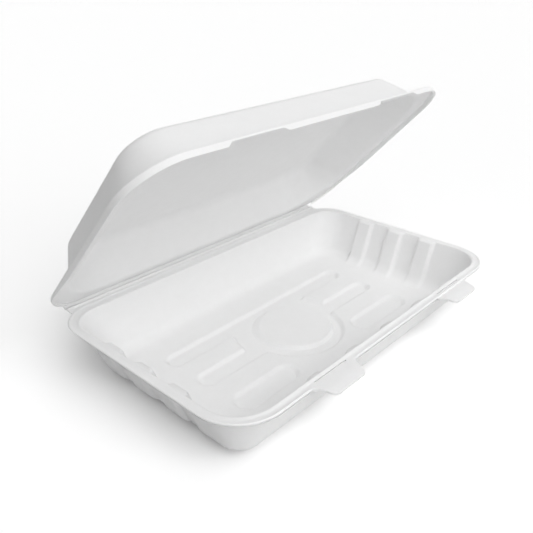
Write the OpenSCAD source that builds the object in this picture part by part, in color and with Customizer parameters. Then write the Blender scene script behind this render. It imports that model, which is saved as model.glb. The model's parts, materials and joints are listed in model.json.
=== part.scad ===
// Food container moulded in one piece from fibre sheet: a fluted tray and a hinged lid.
// Millimetres, +Z up, the tray's feet on the ground.

/* [Sheet] */
// thickness of the moulded sheet
sheet = 1.8; // [1.2:0.1:2.4]
// thickness of the turned-out rims
rim_sheet = 1.6; // [1.2:0.1:2.2]
// thickness of the lid's skirt
skirt_sheet = 1.2; // [0.8:0.1:1.6]

/* [Tray] */
// length of the tray over its rim
tray_length = 228; // [180:1:280]
// width of the tray over its rim, front to back
tray_width = 136.8; // [120:0.2:180]
// corner radius of the tray's rim
tray_corner = 25; // [24:0.2:30]
// height of the tray's rim above the ground
tray_height = 32.6; // [28:0.2:44]
// lean of the tray's walls from upright, in degrees
tray_lean = 17; // [12:0.2:20]
// inside radius where the tray's walls meet its floor
tray_fillet = 6; // [4:0.5:9]
// width of the turned-out rim, outside the bead
rim_width = 5; // [4:0.2:6]
// width of the bead round the mouth
bead_width = 2.4; // [1.6:0.1:3]
// height of the bead above the rim
bead_height = 0.8; // [0.4:0.1:1.2]
// height of the lip along the rim's edge
lip_height = 0.4; // [0.2:0.1:0.8]

/* [Flutes] */
// distance between the flutes on each end wall
flute_pitch = 24; // [20:0.5:28]
// width of a flute at the wall
flute_width = 13; // [10:0.5:15]
// how far a flute stands in from the wall
flute_depth = 2.2; // [1.5:0.1:2.6]
// how far a flute narrows on each side towards its face
flute_side = 2.2; // [1.5:0.1:3]
// distance from the rim down to a flute's top
flute_drop = 1.2; // [0.8:0.1:3]
// distance between the stacking lugs along the front wall
lug_pitch = 30; // [26:0.5:34]
// height of a stacking lug
lug_height = 6; // [4:0.5:8]
// how far a stacking lug stands in from the wall
lug_depth = 1.8; // [1:0.1:2.4]

/* [Floor] */
// depth of the channels in the floor, which are feet underneath
channel_depth = 2.2; // [1.5:0.1:2.6]
// run of a channel's sloping side
channel_slope = 2.4; // [1.6:0.1:3]
// half of the length over which the channels spread
channel_reach = 74; // [66:0.5:76]
// middle of the back channel, behind the centre
back_channel_y = 24.6; // [23:0.2:26]
// width of the back channel
back_channel_width = 10; // [8:0.5:11]
// width of the channels at both sides of the middle
side_channel_width = 11; // [9:0.5:12]
// middle of the front channels, in front of the centre
front_channel_y = -26.8; // [-28:0.2:-26]
// width of the front channels
front_channel_width = 13; // [11:0.5:14]
// inner end of the front channel on the left
front_left_end = -31; // [-36:0.5:-31]
// inner end of the front channel on the right
front_right_end = 26; // [26:0.5:32]
// radius of the round panel in the middle of the floor
panel_radius = 23.6; // [20:0.2:24]
// outer radius of the hollow round the panel, at the back
hollow_back = 35.3; // [33:0.2:37]
// outer radius of the hollow round the panel, at the front
hollow_front = 29.5; // [28:0.2:30]

/* [Tabs] */
// middle of the tab on the left
tab_left_x = -53; // [-56:0.2:-50]
// middle of the tab on the right
tab_right_x = 57.8; // [54:0.2:60]
// length of a tab at its root
tab_root = 31; // [26:0.5:34]
// length of a tab at its front edge
tab_tip = 22; // [16:0.5:24]
// how far a tab stands out from the rim
tab_reach = 10.2; // [8:0.2:12]
// distance from the rim's edge to the tab's crease
tab_crease = 5; // [4:0.2:6]
// slope of the tab outside its crease, in degrees
tab_slope = 14; // [0:1:20]
// radius of a tab's front corners
tab_corner = 3; // [2:0.2:4]
// length of the slot at a tab's root
slot_length = 24; // [20:0.5:26]
// width of the slot
slot_width = 2.2; // [1.6:0.1:2.4]
// depth of the slot
slot_depth = 0.9; // [0.5:0.1:1.1]

/* [Lid] */
// how far the lid stands open, in degrees
lid_open = 46.4; // [0:0.2:110]
// gap between the closed lid and the tray
lid_gap = 0.4; // [0.3:0.05:0.8]
// height of the lid's top above the ground when it is closed
lid_top = 57.6; // [54:0.2:64]
// lean of the lid's walls from upright, in degrees
lid_lean = 28.8; // [24:0.2:30]
// outside radius where the lid's walls meet its top
lid_fillet = 11; // [8:0.5:13]
// how far the lid's rim goes past the tray's rim at each end
lid_over_end = 2.6; // [2.4:0.1:4]
// how far the skirt hangs below the top of the lid's rim
skirt_height = 3.8; // [3.2:0.1:4.2]
// width of the flat of the lid's rim, inside the skirt
lid_rim_width = 4.5; // [4:0.1:6]
// how far the skirt reaches down where it passes over a tab
skirt_at_tab = 1.8; // [1.2:0.1:2]
// clear length on each side of a tab in the skirt
tab_clear = 2; // [1:0.1:3]

/* [Hinge] */
// half of the hinge's length
hinge_half = 104; // [90:0.5:105]
// distance from the tray's rim back to the axis of the fold
hinge_reach = 2.2; // [1.8:0.1:2.8]
// distance from the top of the rim down to the axis of the fold
fold_drop = 5.4; // [4.8:0.1:6.4]
// thickness of the sheet at the fold
hinge_sheet = 0.8; // [0.6:0.1:1]
// radius of the ridge along the fold
fold_radius = 0.9; // [0.7:0.1:1.1]
// clearance round the ridge
fold_gap = 0.35; // [0.3:0.05:0.5]
// wall of the lid's fold round the ridge
fold_wall = 0.85; // [0.7:0.05:1]

/* [Hidden] */
arc_steps = 8;
eps = 0.02;
foot_z = 0;
floor_in = channel_depth + sheet;
floor_out = channel_depth;
// corner centres of the tray and of the lid
tray_cx = tray_length/2 - tray_corner;
tray_cy = tray_width/2 - tray_corner;
lid_corner = tray_corner + lid_over_end;
lid_over_front = lid_gap + skirt_sheet;
lid_cx = tray_cx;
lid_cy = tray_width/2 + lid_over_front - lid_corner;
// tray wall: foot of its inside line, and the fillet's centre
wall_in = tray_corner - rim_width - bead_width;
wall_foot = wall_in - (tray_height - floor_in)*tan(tray_lean);
tray_fx = wall_foot - tray_fillet*tan((90 - tray_lean)/2);
tray_fz = floor_in + tray_fillet;
sheet_run = sheet/cos(tray_lean);
rim_under = tray_height - rim_sheet;
bead_top = tray_height + bead_height;
// lid levels when closed
lid_under = bead_top + lid_gap;
lid_rim_top = lid_under + rim_sheet;
skirt_foot = lid_rim_top - skirt_height;
lid_wall_in = lid_corner - skirt_sheet - lid_rim_width;
lid_inner_top = lid_top - sheet;
lid_inner_fillet = lid_fillet - sheet;
lid_wall_out = lid_wall_in + sheet/cos(lid_lean) - rim_sheet*tan(lid_lean);
lid_fz = lid_top - lid_fillet;
lid_fx = lid_wall_out - (lid_top - lid_rim_top)*tan(lid_lean) - lid_fillet*tan((90 - lid_lean)/2);
// fold axis
axis_y = tray_width/2 + hinge_reach;
axis_z = tray_height - fold_drop;
fold_out = fold_radius + fold_gap + fold_wall;
strip_root = [tray_width/2 - 0.8, rim_under + rim_sheet/2];
strip_turn = atan2(strip_root[1] - axis_z, strip_root[0] - axis_y);
fold_end = strip_turn - asin((hinge_sheet/2 + fold_gap)/(fold_radius + fold_gap));
fold_start = fold_end - 106;
// tabs
tab_front = tray_width/2 + tab_reach;

function ring(cx, cz, r, a0, a1) =
    [for (k = [0:arc_steps]) [cx + r*cos(a0 + (a1 - a0)*k/arc_steps), cz + r*sin(a0 + (a1 - a0)*k/arc_steps)]];

function tray_wall(z) = wall_in - (tray_height - z)*tan(tray_lean);

tray_inside = concat(
    [[0, floor_in]],
    ring(tray_fx, tray_fz, tray_fillet, -90, -tray_lean),
    [[tray_wall(tray_height - 0.4), tray_height - 0.4],
     [wall_in + 0.25*bead_width, bead_top - 0.2],
     [wall_in + 0.4*bead_width, bead_top],
     [wall_in + 0.75*bead_width, bead_top],
     [wall_in + bead_width, bead_top - 0.4*bead_height],
     [wall_in + 1.2*bead_width, tray_height]]);
tray_edge = [
    [tray_corner - 1.9, tray_height],
    [tray_corner - 1.3, tray_height + lip_height],
    [tray_corner - 0.6, tray_height + lip_height],
    [tray_corner, tray_height - 0.1],
    [tray_corner, rim_under + 0.4],
    [tray_corner - 0.4, rim_under]];
tray_outside = concat(
    [[tray_wall(rim_under) + sheet_run + 0.6, rim_under],
     [tray_wall(rim_under - 0.8) + sheet_run, rim_under - 0.8]],
    ring(tray_fx, tray_fz, tray_fillet + sheet, -tray_lean, -90),
    [[0, floor_out]]);
tray_profile = concat(tray_inside, tray_edge, tray_outside);

lid_outside = concat(
    [[0, lid_top]],
    ring(lid_fx, lid_fz, lid_fillet, 90, lid_lean),
    [[lid_wall_out, lid_rim_top]]);
lid_inside = concat(
    [[lid_wall_in, lid_under]],
    ring(lid_fx, lid_fz, lid_inner_fillet, lid_lean, 90),
    [[0, lid_inner_top]]);
lid_edge = [
    [lid_corner - 0.7, lid_rim_top],
    [lid_corner, lid_rim_top - 0.7],
    [lid_corner, skirt_foot + 0.3],
    [lid_corner - 0.3, skirt_foot],
    [lid_corner - skirt_sheet + 0.3, skirt_foot],
    [lid_corner - skirt_sheet, skirt_foot + 0.3],
    [lid_corner - skirt_sheet, lid_under]];
lid_profile = concat(lid_outside, lid_edge, lid_inside);
lid_back_edge = [
    [lid_corner, lid_rim_top],
    [lid_corner, lid_under]];
lid_back_profile = concat(lid_outside, lid_back_edge, lid_inside);

// the middle of the box round the open container lies at y = 0
lid_back_reach = max([for (p = lid_outside)
    axis_y + (lid_cy + p[0] - axis_y)*cos(lid_open) + (p[1] - axis_z)*sin(lid_open)]);
frame_y = (tab_front - lid_back_reach)/2;

module swept_corner(profile, cx, cy, turn) {
    translate([cx, cy, 0])
        rotate([0, 0, turn])
            rotate_extrude(angle = 90)
                polygon(profile);
}

module swept_side(profile, start, turn, length) {
    translate(start)
        rotate([0, 0, turn])
            rotate([90, 0, 0])
                linear_extrude(height = length)
                    polygon(profile);
}

// profiles swept round a rounded rectangle, with a plate in the middle
module dish(profile, back_profile, cx, cy, plate_z) {
    swept_corner(profile, cx, cy, 0);
    swept_corner(profile, -cx, cy, 90);
    swept_corner(profile, -cx, -cy, 180);
    swept_corner(profile, cx, -cy, 270);
    swept_side(profile, [cx, cy, 0], 0, 2*cy);
    swept_side(back_profile, [-cx, cy, 0], 90, 2*cx);
    swept_side(profile, [-cx, -cy, 0], 180, 2*cy);
    swept_side(profile, [cx, -cy, 0], 270, 2*cx);
    translate([-cx, -cy, plate_z])
        cube([2*cx, 2*cy, sheet]);
}

// straight trough with round ends and sloping sides, from x0 to x1
module trough(x0, x1, y, width, z0, z1, grow) {
    low = width/2 - channel_slope/2 + grow;
    high = width/2 + channel_slope/2 + grow;
    up = (z1 - z0)/channel_depth;
    top = low + (high - low)*up;
    a = x0 + width/2;
    b = x1 - width/2;
    for (x = [a, b])
        translate([x, y, z0])
            cylinder(r1 = low, r2 = top, h = z1 - z0);
    translate([a, y, z0])
        rotate([90, 0, 90])
            linear_extrude(height = b - a)
                polygon([[-low, 0], [low, 0], [top, z1 - z0], [-top, z1 - z0]]);
}

module round_step(radius, z0, z1, grow, sense) {
    low = radius - sense*channel_slope/2 + grow;
    high = radius + sense*channel_slope/2 + grow;
    top = low + (high - low)*(z1 - z0)/channel_depth;
    translate([0, 0, z0])
        cylinder(r1 = low, r2 = top, h = z1 - z0);
}

// everything sunk into the floor; grow > 0 gives the underside of the same form
module sunk_form(z0, z1, grow) {
    trough(-channel_reach, channel_reach, back_channel_y, back_channel_width, z0, z1, grow);
    trough(-channel_reach, -hollow_front, 0, side_channel_width, z0, z1, grow);
    trough(hollow_front, channel_reach, 0, side_channel_width, z0, z1, grow);
    trough(-channel_reach, front_left_end, front_channel_y, front_channel_width, z0, z1, grow);
    trough(front_right_end, channel_reach, front_channel_y, front_channel_width, z0, z1, grow);
    round_step(hollow_front, z0, z1, grow, 1);
    difference() {
        round_step(hollow_back, z0, z1, grow, 1);
        translate([-hollow_back*2, -hollow_back*2 - side_channel_width/2 - grow, z0 - 1])
            cube([hollow_back*4, hollow_back*2, z1 - z0 + 2]);
        translate([-hollow_back*2, back_channel_y, z0 - 1])
            cube([hollow_back*4, hollow_back*2, z1 - z0 + 2]);
    }
}

side_grow = sheet*tan(atan(channel_depth/channel_slope)/2);

module floor_cut() {
    difference() {
        sunk_form(sheet, floor_in + 0.6, 0);
        round_step(panel_radius, sheet - 1, floor_in + 1, 0, -1);
    }
}

// upright rib on a wall that leans: x points into the tray, the wall's inside line at x = 0
module rib(depth, width, side, back, z0, z1) {
    intersection() {
        translate([0, 0, tray_height])
            rotate([0, -tray_lean, 0])
                translate([0, 0, -2*tray_height])
                    linear_extrude(height = 3*tray_height)
                        polygon([[-back, -width/2], [0, -width/2], [depth, -width/2 + side],
                                 [depth, width/2 - side], [0, width/2], [-back, width/2]]);
        translate([-60, -40, z0])
            cube([120, 80, z1 - z0]);
    }
}

module at_ends(pitch) {
    for (s = [0, 180])
        rotate([0, 0, s])
            for (k = [-1:1])
                translate([-tray_cx - wall_in, k*pitch, 0])
                    children();
}

module flutes() {
    at_ends(flute_pitch)
        rib(flute_depth, flute_width, flute_side, sheet/2, floor_out + sheet/2, tray_height - flute_drop);
}

module flute_grooves() {
    groove_top = tray_height - flute_drop - sheet;
    at_ends(flute_pitch)
        translate([-sheet_run, 0, 0])
            rib(flute_depth, flute_width - sheet, flute_side, 4*sheet, -1, groove_top);
}

module lugs() {
    top = tray_height - flute_drop;
    for (k = [-2:2])
        translate([k*lug_pitch, -tray_cy - wall_in, 0])
            rotate([0, 0, 90])
                rib(lug_depth, flute_width - 2, flute_side, sheet/2, top - lug_height, top);
}

module tab(x) {
    edge = -tray_width/2;
    crease = edge - tab_crease;
    half_crease = tab_root/2 - (tab_root - tab_tip)/2*tab_crease/tab_reach;
    out = tab_reach - tab_crease;
    translate([x, 0, rim_under])
        linear_extrude(height = rim_sheet)
            polygon([[-tab_root/2, edge + 1], [-tab_root/2, edge], [-half_crease, crease],
                     [half_crease, crease], [tab_root/2, edge], [tab_root/2, edge + 1]]);
    intersection() {
        translate([x, crease, rim_under])
            rotate([tab_slope, 0, 0])
                translate([-tab_root, -2*out, 0])
                    cube([2*tab_root, 2*out + eps, rim_sheet]);
        translate([x, 0, rim_under - 2*tab_reach])
            linear_extrude(height = 4*tab_reach)
                difference() {
                    polygon([[-half_crease, crease], [-tab_tip/2, -tab_front],
                             [tab_tip/2, -tab_front], [half_crease, crease]]);
                    for (s = [-1, 1])
                        translate([s*tab_tip/2, -tab_front])
                            rotate(45)
                                square(tab_corner*0.9, center = true);
                }
    }
}

module slot(x) {
    translate([x - slot_length/2, -tray_cy - tray_corner + 0.8, tray_height - slot_depth])
        cube([slot_length, slot_width, slot_depth + 2]);
}

// thin flat strip along the fold, from one point of the section to another
module strip(p, q) {
    d = q - p;
    n = [-d[1], d[0]]/norm(d)*hinge_sheet/2;
    translate([-hinge_half, 0, 0])
        rotate([90, 0, 90])
            linear_extrude(height = 2*hinge_half)
                polygon([p - n, q - n, q + n, p + n]);
}

module tray_hinge() {
    strip(strip_root, [axis_y, axis_z]);
    translate([-hinge_half, axis_y, axis_z])
        rotate([0, 90, 0])
            cylinder(r = fold_radius, h = 2*hinge_half);
}

module tray() {
    color([0.93, 0.93, 0.91])
        translate([0, frame_y, 0])
            difference() {
                union() {
                    dish(tray_profile, tray_profile, tray_cx, tray_cy, floor_out);
                    sunk_form(foot_z, floor_out + sheet/2, side_grow);
                    flutes();
                    lugs();
                    tab(tab_left_x);
                    tab(tab_right_x);
                    tray_hinge();
                }
                floor_cut();
                round_step(panel_radius, -channel_depth, floor_out, -side_grow - channel_slope, -1);
                flute_grooves();
                slot(tab_left_x);
                slot(tab_right_x);
            }
}

// lid's half of the fold, closed round the back of the ridge
module lid_hinge() {
    turn = fold_end - 8;
    middle = fold_out - fold_wall/2;
    strip([axis_y + middle*cos(turn), axis_z + middle*sin(turn)],
          [lid_cy + lid_corner - hinge_sheet, lid_under + rim_sheet/3]);
    translate([-hinge_half, axis_y, axis_z])
        rotate([90, 0, 90])
            linear_extrude(height = 2*hinge_half)
                polygon(concat(ring(0, 0, fold_out, fold_start, fold_end),
                               ring(0, 0, fold_radius + fold_gap, fold_end, fold_start)));
}

module skirt_notch(x) {
    long = tab_root + 2*tab_clear;
    translate([x - long/2, -lid_cy - lid_corner - 1, skirt_foot - 1])
        cube([long, skirt_sheet + 1 + eps, lid_rim_top - skirt_at_tab - skirt_foot + 1]);
}

module closed_lid() {
    difference() {
        dish(lid_profile, lid_back_profile, lid_cx, lid_cy, lid_inner_top);
        skirt_notch(tab_left_x);
        skirt_notch(tab_right_x);
        translate([-hinge_half - lid_gap, lid_cy, skirt_foot - 1])
            cube([2*hinge_half + 2*lid_gap, 2*lid_corner, lid_under - skirt_foot + 1]);
    }
    lid_hinge();
}

module lid() {
    color([0.94, 0.94, 0.92])
        translate([0, frame_y + axis_y, axis_z])
            rotate([-lid_open, 0, 0])
                translate([0, -axis_y, -axis_z])
                    closed_lid();
}

tray();
lid();
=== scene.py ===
"""Open clamshell food container of moulded fibre: a fluted tray, a domed lid and the fold between them."""

import json
import math

import bmesh
import bpy
from bpy.props import FloatProperty, FloatVectorProperty, PointerProperty
from mathutils import Matrix, Vector


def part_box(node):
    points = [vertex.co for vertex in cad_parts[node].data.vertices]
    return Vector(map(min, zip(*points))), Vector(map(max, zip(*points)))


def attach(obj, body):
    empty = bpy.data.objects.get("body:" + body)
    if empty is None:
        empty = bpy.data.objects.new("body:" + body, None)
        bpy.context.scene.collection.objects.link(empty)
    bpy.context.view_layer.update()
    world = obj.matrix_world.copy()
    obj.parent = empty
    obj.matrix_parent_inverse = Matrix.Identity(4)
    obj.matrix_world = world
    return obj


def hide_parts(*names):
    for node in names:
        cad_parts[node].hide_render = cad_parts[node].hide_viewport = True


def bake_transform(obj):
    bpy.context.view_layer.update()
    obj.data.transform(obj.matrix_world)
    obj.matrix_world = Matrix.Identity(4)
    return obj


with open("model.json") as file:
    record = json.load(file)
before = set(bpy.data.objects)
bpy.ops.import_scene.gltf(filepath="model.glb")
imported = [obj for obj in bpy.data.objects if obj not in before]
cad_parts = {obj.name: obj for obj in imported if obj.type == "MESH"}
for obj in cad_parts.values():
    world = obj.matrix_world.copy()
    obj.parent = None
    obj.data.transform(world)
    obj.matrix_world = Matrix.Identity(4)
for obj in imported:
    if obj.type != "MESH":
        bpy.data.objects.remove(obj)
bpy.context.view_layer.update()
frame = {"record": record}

bl_info = {
    "name": "Moulded fibre clamshell",
    "version": (1, 0, 0),
    "blender": (4, 5, 0),
    "location": "View3D > Sidebar > Clamshell",
    "description": "Models an open clamshell food container in a small studio",
    "category": "Add Mesh",
}

MM = 0.001
# points closer than this count as one
TINY = 0.01 * MM
RECORD = frame["record"]
FOLD = RECORD["behaviour"]["joints"][0]
FOLD_AXIS = Vector(FOLD["pos_m"])
REST_OPENING = math.radians(-FOLD["range_deg"][0])
TRAY_MIDDLE_Y = RECORD["mounts"][0]["pos_m"][1]
TRAY_HALF_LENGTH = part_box("tray")[1][0]
LID_HALF_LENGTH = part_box("lid")[1][0]
# soft lamps: name, turn from the front and height in degrees, and share of the light
LAMPS = (
    ("front", 0, 30, 0.38),
    ("front_left", -45, 30, 0.13),
    ("left_high", -45, 60, 0.17),
    ("front_high", 0, 60, 0.14),
    ("top", 0, 88, 0.12),
    ("back_right", 135, 45, 0.12),
    ("right_high", 45, 60, 0.04),
)
# floor channels: middle and width across the tray, in millimetres
CHANNELS = {"back": (25.1, 11.0), "middle": (0.0, 11.0), "front": (-26.8, 13.0)}
# radii of the hollow round the floor's panel, in front and at the back, in millimetres
HOLLOW = (29.5, 36.4)
# inner ends of the two front channels along the tray, in millimetres
FRONT_ENDS = (-31.0, 26.0)
# side of the round panel, from its foot up: share of its run and share of its rise
PANEL_RINGS = ((0.0, 0.0), (0.12, 0.12), (0.88, 0.88), (1.0, 1.0), (1.25, 1.0))
# bead round the mouth: millimetres out from the wall's top and share of the bead's height
BEAD_SHAPE = ((0.15, 0.45), (0.45, 0.85), (0.9, 1.0), (1.35, 0.85), (1.75, 0.45), (2.2, 0.12))
BEAD_WIDTH = 2.2 * MM
# groove beside the bead: millimetres out from the wall's top
GROOVE_STEPS = (2.8, 3.7, 4.7)
# lip along the rim's edge: millimetres in from the edge and share of the lip's height
LIP_SHAPE = (
    (2.2, 0.0), (1.75, 0.2), (1.4, 0.7), (1.0, 1.0), (0.6, 0.9), (0.25, 0.4), (0.05, -0.3), (0.0, -0.8),
)
LIP_CREST = 1.0 * MM
# rows of a tab from its root to its front edge, in parts of the last one
TAB_ROWS = (0.8, 1.8, 2.9, 4.0, 4.7, 5.3, 6.2, 7.2, 8.0, 8.6, 9.1, 9.5, 9.8, 10.0, 10.2)
# places of the flutes and lugs, counted in pitches from the middle
FLUTE_PLACES = (-1, 0, 1)
LUG_PLACES = (-2, -1, 0, 1, 2)
# mesh: cells of the flat panels along and across, steps round the corners, and steps along the sections
TRAY_CELLS, TRAY_CORNER_STEPS = (136, 128), 12
LID_CELLS, LID_CORNER_STEPS = (120, 58), 16
PANEL_STEPS = 3
TRAY_BEND_STEPS, TRAY_WALL_STEPS = 9, 5
LID_BEND_STEPS, LID_WALL_STEPS, LID_TOE_STEPS = 14, 9, 5
LID_RIM_STEPS, LID_EDGE_STEPS, LID_SKIRT_STEPS = 2, 5, 4
FOLD_STEPS, FOLD_CUTS = 26, 60
# sharper edges than this are cut edges, which are softened; flatter ones are shaded smooth
CUT_EDGE, CUT_EDGE_SEGMENTS = math.radians(75), 3
SMOOTH_BELOW = math.radians(60)
# ridge, dip and valley across the fold, as shares of its width: middle and spread
RIDGE, DIP, VALLEY = (0.38, 0.07), (0.18, 0.1), (0.72, 0.15)
# studio: the floor's size in metres and its drop under the feet, and how wide a lamp looks
FLOOR_SIZE = 40.0
FLOOR_DROP = 0.05 * MM
LAMP_SPREAD = math.radians(60)
# the camera's aim, from the tray's middle on the ground, in millimetres
CAMERA_AIM = (-14.11, 8.96, 46.18)


def length(name, default, description):
    """Distance property given in millimetres."""
    return FloatProperty(name=name, description=description, default=default * MM, unit="LENGTH")


def angle(name, degrees, description):
    """Angle property given in degrees."""
    return FloatProperty(name=name, description=description, default=math.radians(degrees), subtype="ANGLE")


def amount(name, default, description):
    """Plain number property."""
    return FloatProperty(name=name, description=description, default=default)


def tone(name, default, description):
    """Colour property."""
    return FloatVectorProperty(
        name=name, description=description, default=default, subtype="COLOR", min=0.0, max=1.0
    )


class TraySizes(bpy.types.PropertyGroup):
    """Sizes of the tray."""

    sheet: length("Sheet", 1.8, "Thickness of the moulded sheet")
    width: length("Width", 136.8, "Width over the rim, front to back")
    corner: length("Corner", 25.0, "Corner radius of the rim")
    back_corner: length("Back corner", 19.5, "Corner radius of the rim beside the fold")
    back_rounding: length("Back rounding", 6.0, "How much rounder the back corners are at the floor")
    end_widening: length("End widening", 2.4, "How much narrower the rim is at the ends than at the back")
    front_widening: length("Front widening", 2.0, "How much narrower the rim is in front than at the back")
    rim_level: length("Rim level", 32.3, "Height of the groove in the rim")
    lean: angle("Wall lean", 17.0, "Lean of the walls from upright")
    fillet: length("Fillet", 8.0, "Inside radius where walls meet floor")
    floor_level: length("Floor level", 4.0, "Height of the floor's upper side")
    wall_top: length("Wall top", 17.5, "Distance of the wall's top from the corner centre")
    bead_height: length("Bead height", 0.55, "Height of the bead round the mouth")
    lip_height: length("Lip height", 0.38, "Height of the lip along the rim's edge")
    channel_depth: length("Channel depth", 2.2, "Depth of the channels in the floor")
    channel_run: length("Channel run", 1.5, "Run of a channel's side")
    channel_reach: length("Channel reach", 74.0, "Half of the length over which the channels spread")
    panel_radius: length("Panel radius", 23.6, "Radius of the round panel in the floor")
    panel_aside: length("Panel aside", 1.2, "How far the panel sits to the right of the middle")
    panel_back: length("Panel back", 1.6, "How far the panel sits behind the middle")
    panel_soft: angle("Panel soft side", 133.0, "Direction in which the round panel's side is softest")
    panel_softness: amount("Panel softness", 2.0, "How much longer its side runs where it is softest")
    flute_depth: length("Flute depth", 2.8, "How far a flute stands in from the wall")
    flute_pitch: length("Flute pitch", 24.0, "Distance between the flutes on an end wall")
    flute_half: length("Flute half width", 6.5, "Half of a flute's width at the wall")
    flute_side: length("Flute side", 2.0, "Run of a flute's side")
    flute_top: length("Flute top", 32.1, "Height of a flute's top")
    flute_foot: length("Flute foot", 4.2, "Run over which a flute rises from the floor")
    bare_share: amount("Bare share", 0.6, "Thickness of the plain sheet as a share of that in a flute")
    lug_depth: length("Lug depth", 1.7, "How far a lug stands in from the front wall")
    lug_height: length("Lug height", 6.5, "Height of a lug")
    lug_pitch: length("Lug pitch", 30.0, "Distance between the lugs on the front wall")
    lug_half: length("Lug half width", 6.0, "Half of a lug's width at the wall")
    lug_side: length("Lug side", 3.0, "Run of a lug's side")
    lug_foot: length("Lug foot", 2.5, "Run of a lug's lower end")
    tab_reach: length("Tab reach", 9.7, "How far a tab stands out from the rim")
    tab_crease: length("Tab crease", 5.0, "Distance from the rim to the tab's crease")
    tab_slope: angle("Tab slope", 7.0, "Fall of the tab outside its crease")
    tab_root: length("Tab root", 31.0, "Length of a tab along the rim")
    tab_tip: length("Tab tip", 24.0, "Length of a tab near its front edge")
    tab_left: length("Left tab", -52.2, "Middle of the left tab")
    tab_right: length("Right tab", 57.8, "Middle of the right tab")
    tab_corner: length("Tab corner", 2.8, "Corner radius of a tab's front edge")
    tab_flare: length("Tab flare", 1.3, "How far a tab widens at its root")
    slot_length: length("Slot length", 24.0, "Length of the slot at a tab's root")
    slot_width: length("Slot width", 0.6, "Width of the slot")
    slot_place: length("Slot place", 2.4, "Distance from the mouth to the slot")
    hole_length: length("Hole length", 3.0, "Length of the hole at the slot's right end")
    hole_width: length("Hole width", 1.05, "Width of the hole at the slot's right end")


class LidSizes(bpy.types.PropertyGroup):
    """Sizes of the lid, as it lies closed."""

    sheet: length("Sheet", 1.2, "Thickness of the moulded sheet")
    over: length("Overhang", 1.6, "How far the rim goes past the tray's rim in front")
    corner: length("Corner", 26.9, "Corner radius of the rim")
    aside: length("Aside", 1.0, "How far the lid sits to the left of the tray's middle")
    end_inset: length("End inset", 2.5, "How much wider the rim is at the ends than at the front")
    foot_rounding: length("Foot rounding", 12.7, "How much rounder the corners are at the wall's foot")
    top_rounding: length("Top rounding", 8.2, "How much rounder the corners are at the top")
    rim_top: length("Rim top", 35.4, "Height of the rim's upper side")
    top: length("Top", 58.4, "Height of the top panel")
    lean: angle("Wall lean", 29.4, "Lean of the walls from upright")
    fillet: length("Fillet", 9.0, "Outside radius where walls meet the top")
    wall_foot: length("Wall foot", 22.37, "Distance of the wall's foot from the corner centre")
    edge: length("Edge", 1.2, "Outside radius where the rim turns down into the skirt")
    roll: length("Roll", 2.6, "Outside radius where the walls meet the rim")
    skirt: length("Skirt", 3.8, "How far the skirt hangs below the rim's top")
    skirt_at_tab: length("Skirt at a tab", 1.8, "How far the skirt hangs where it passes a tab")
    tab_clear: length("Tab clearance", 2.0, "Free length beside a tab in the skirt")
    skirt_end: length("Skirt's end", 2.3, "How far the skirt hangs beside the fold")
    skirt_fade: length("Skirt's fade", 14.0, "Distance behind the middle where the skirt starts to run out")


class FoldSizes(bpy.types.PropertyGroup):
    """Sizes of the strip between tray and lid."""

    half: length("Half length", 104.0, "Half of the fold's length")
    sheet: length("Sheet", 0.8, "Thickness of the pressed strip")
    ridge: length("Ridge", 0.45, "Height of the thin ridge along the strip")
    dip: length("Dip", 0.25, "Depth of the dip beside the tray")
    valley: length("Valley", 0.8, "Depth of the valley beside the lid")


class FibreFinish(bpy.types.PropertyGroup):
    """Colour and grain of the fibre."""

    pale: tone("Pale", (0.96, 0.96, 0.96), "Colour of the raised fibres")
    dull: tone("Dull", (0.93, 0.93, 0.93), "Colour between the fibres")
    grain: length("Grain", 0.8, "Size of the mesh-like grain")
    depth: length("Grain depth", 0.06, "Depth of the grain")
    relief: amount("Relief", 0.5, "Strength of the grain on the tray and the lid")
    pressed_relief: amount("Pressed relief", 0.2, "Strength of the grain on the fold")
    roughness: amount("Roughness", 0.55, "Roughness of the plain sheet")
    soak: amount("Soak", 0.6, "Share of the light that soaks into the sheet")
    soak_depth: length("Soak depth", 0.6, "How far the light spreads in the sheet")


class StudioSet(bpy.types.PropertyGroup):
    """Camera, floor and light."""

    azimuth: angle("Azimuth", -47.41, "Camera's place round the container")
    elevation: angle("Elevation", 26.44, "Camera's height above the horizon")
    distance: length("Distance", 345.33, "Camera's distance from its aim")
    lens: amount("Lens", 41.673, "Focal length in millimetres")
    floor_tone: tone("Floor", (0.75, 0.75, 0.75), "Colour of the floor for the light it throws back")
    floor_seen: amount("Floor seen", 1.3, "Whiteness of the floor where it is seen")
    sky: amount("Sky", 0.0, "Strength of the even light from all round")
    key: amount("Key", 1.0, "Strength of all the soft lamps together")


def clear_selection():
    """Leave edit mode with nothing selected."""
    if bpy.context.mode != "OBJECT":
        bpy.ops.object.mode_set(mode="OBJECT")
    bpy.ops.object.select_all(action="DESELECT")


def only(obj):
    """Leave edit mode and select one object."""
    clear_selection()
    obj.select_set(True)
    bpy.context.view_layer.objects.active = obj


def pick(obj, kind, test):
    """Select the vertices, edges or faces of the edited mesh that pass a test."""
    only(obj)
    bpy.ops.object.mode_set(mode="EDIT")
    bpy.ops.mesh.select_mode(type=kind)
    bpy.ops.mesh.select_all(action="DESELECT")
    mesh = bmesh.from_edit_mesh(obj.data)
    parts = {"VERT": mesh.verts, "EDGE": mesh.edges, "FACE": mesh.faces}[kind]
    for part in parts:
        if test(part):
            part.select_set(True)
    mesh.select_flush_mode()
    bmesh.update_edit_mesh(obj.data)


def extrude(x, y, z):
    """Extrude what is selected by a step."""
    bpy.ops.mesh.extrude_region_move(TRANSFORM_OT_translate={"value": (x, y, z)})


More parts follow.
